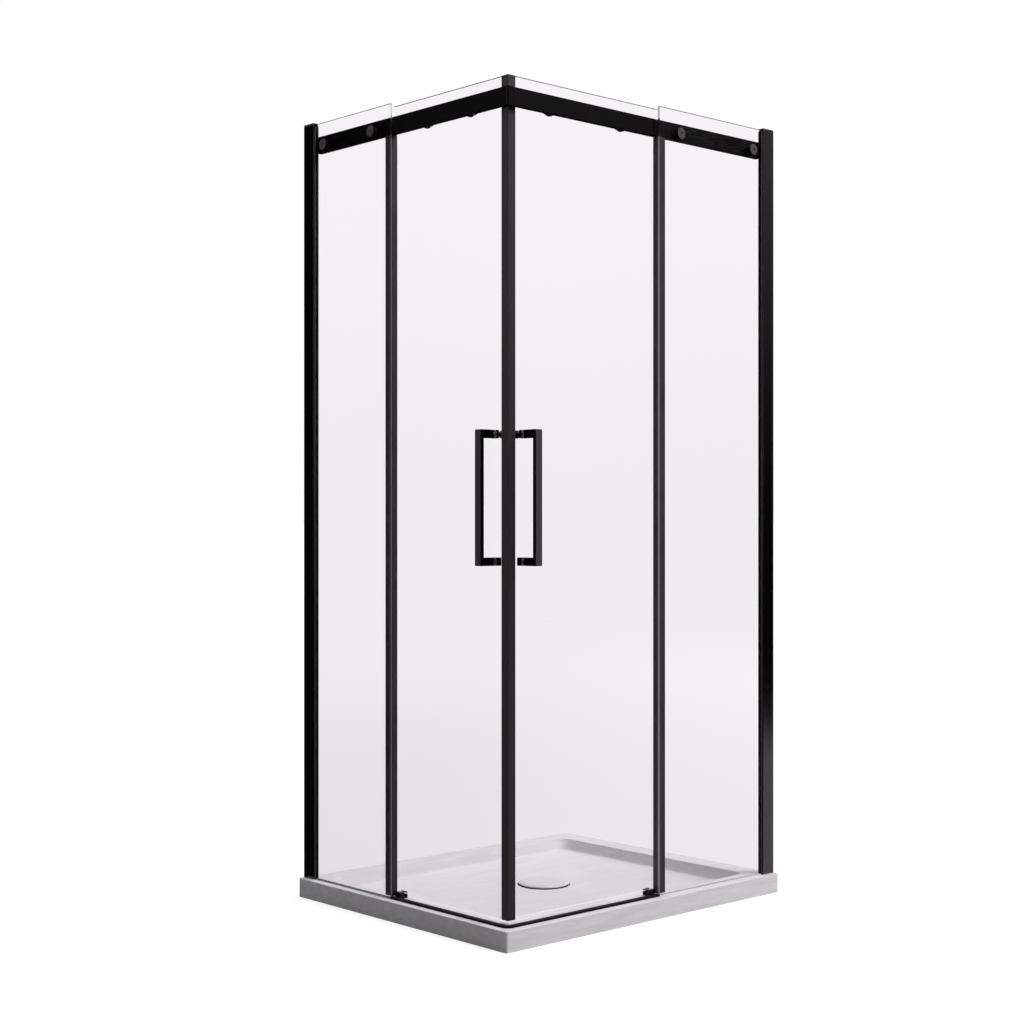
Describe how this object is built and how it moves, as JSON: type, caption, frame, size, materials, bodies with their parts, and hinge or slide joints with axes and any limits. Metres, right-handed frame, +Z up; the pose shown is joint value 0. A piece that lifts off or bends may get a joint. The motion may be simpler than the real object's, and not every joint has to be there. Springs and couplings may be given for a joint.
{
  "type": "shower enclosure",
  "caption": "Corner-entry shower enclosure with a low white tray, clear fixed panes and glass doors that slide on black top rails and meet at the corner, with bar handles.",
  "frame": {"origin": "centre of the tray's underside", "axes": "+Z up, +X along the long front face towards its wall, +Y along the short side face towards its wall; the doors meet at the -X -Y corner"},
  "size_m": [0.9, 0.75, 1.87],
  "materials": {
    "tray_white": "white gel coat, satin",
    "waste_white": "white, gloss",
    "glass": "clear, polished edges",
    "black_metal": "black powder coat",
    "rail_metal": "black anodised",
    "handle_metal": "black coated",
    "disc_metal": "black coated",
    "black_plastic": "moulded",
    "black_rubber": "matt",
    "black_brush": "pile",
    "clear_seal": "clear",
    "steel": "turned",
    "nylon": "moulded"
  },
  "bodies": {
    "base": {"shower_tray": "tray_white", "waste_flange": "waste_white", "channel_caps": "black_plastic", "lock_screws": "steel", "glazing_seals": "black_rubber", "base_seals": "clear_seal", "closing_brushes": "black_brush", "rail_corner": "black_metal", "rail_corner_screws": "steel", "rail_end_plugs": "black_plastic", "rail_stops": "black_rubber", "clamp_discs": "disc_metal", "clamp_washers": "clear_seal", "clamp_spacers": "black_plastic", "threshold_strip": "black_metal", "guide_screws": "steel", "wall_channel_front": "black_metal", "glass_channel_front": "black_metal", "fixed_glass_front": "glass", "closing_profile_front": "black_metal", "rail_front": "rail_metal", "bottom_guide_front": "black_plastic", "wall_channel_side": "black_metal", "glass_channel_side": "black_metal", "fixed_glass_side": "glass", "closing_profile_side": "black_metal", "rail_side": "rail_metal", "bottom_guide_side": "black_plastic"},
    "waste_cover": {"waste_cover": "waste_white"},
    "door_front": {"door_glass_front": "glass", "lead_profile_front": "black_metal", "magnet_seal_front": "black_rubber", "trail_seal_front": "clear_seal", "handle_front": "handle_metal", "handle_knobs_front": "handle_metal", "handle_washers_front": "clear_seal", "roller_axles_front": "steel", "roller_caps_front": "black_plastic"},
    "roller_front_lead": {"wheel_front_lead": "nylon", "bearing_front_lead": "steel"},
    "roller_front_trail": {"wheel_front_trail": "nylon", "bearing_front_trail": "steel"},
    "door_side": {"door_glass_side": "glass", "lead_profile_side": "black_metal", "magnet_seal_side": "black_rubber", "trail_seal_side": "clear_seal", "handle_side": "handle_metal", "handle_knobs_side": "handle_metal", "handle_washers_side": "clear_seal", "roller_axles_side": "steel", "roller_caps_side": "black_plastic"},
    "roller_side_lead": {"wheel_side_lead": "nylon", "bearing_side_lead": "steel"},
    "roller_side_trail": {"wheel_side_trail": "nylon", "bearing_side_trail": "steel"}
  },
  "joints": [
    {"name": "cover_lift", "type": "slide", "parent": "base", "child": "waste_cover", "axis": [0, 0, 1], "range_m": [0, 0.08]},
    {"name": "door_front_slide", "type": "slide", "parent": "base", "child": "door_front", "axis": [1, 0, 0], "range_m": [0, 0.37]},
    {"name": "roller_front_lead_spin", "type": "hinge", "parent": "door_front", "child": "roller_front_lead", "pos_m": [-0.2855, -0.3385, 1.814], "axis": [0, 1, 0], "range_deg": [0, 1447.1]},
    {"name": "roller_front_trail_spin", "type": "hinge", "parent": "door_front", "child": "roller_front_trail", "pos_m": [-0.062, -0.3385, 1.814], "axis": [0, 1, 0], "range_deg": [0, 1447.1]},
    {"name": "door_side_slide", "type": "slide", "parent": "base", "child": "door_side", "axis": [0, 1, 0], "range_m": [0, 0.295]},
    {"name": "roller_side_lead_spin", "type": "hinge", "parent": "door_side", "child": "roller_side_lead", "pos_m": [-0.4135, -0.2105, 1.814], "axis": [-1, 0, 0], "range_deg": [0, 1154.8]},
    {"name": "roller_side_trail_spin", "type": "hinge", "parent": "door_side", "child": "roller_side_trail", "pos_m": [-0.4135, -0.062, 1.814], "axis": [-1, 0, 0], "range_deg": [0, 1154.8]}
  ],
  "couplings": [
    {"joint": "roller_front_lead_spin", "follows": "door_front_slide", "rad_per_m": 68.027},
    {"joint": "roller_front_trail_spin", "follows": "door_front_slide", "rad_per_m": 68.027},
    {"joint": "roller_side_lead_spin", "follows": "door_side_slide", "rad_per_m": 68.027},
    {"joint": "roller_side_trail_spin", "follows": "door_side_slide", "rad_per_m": 68.027}
  ]
}
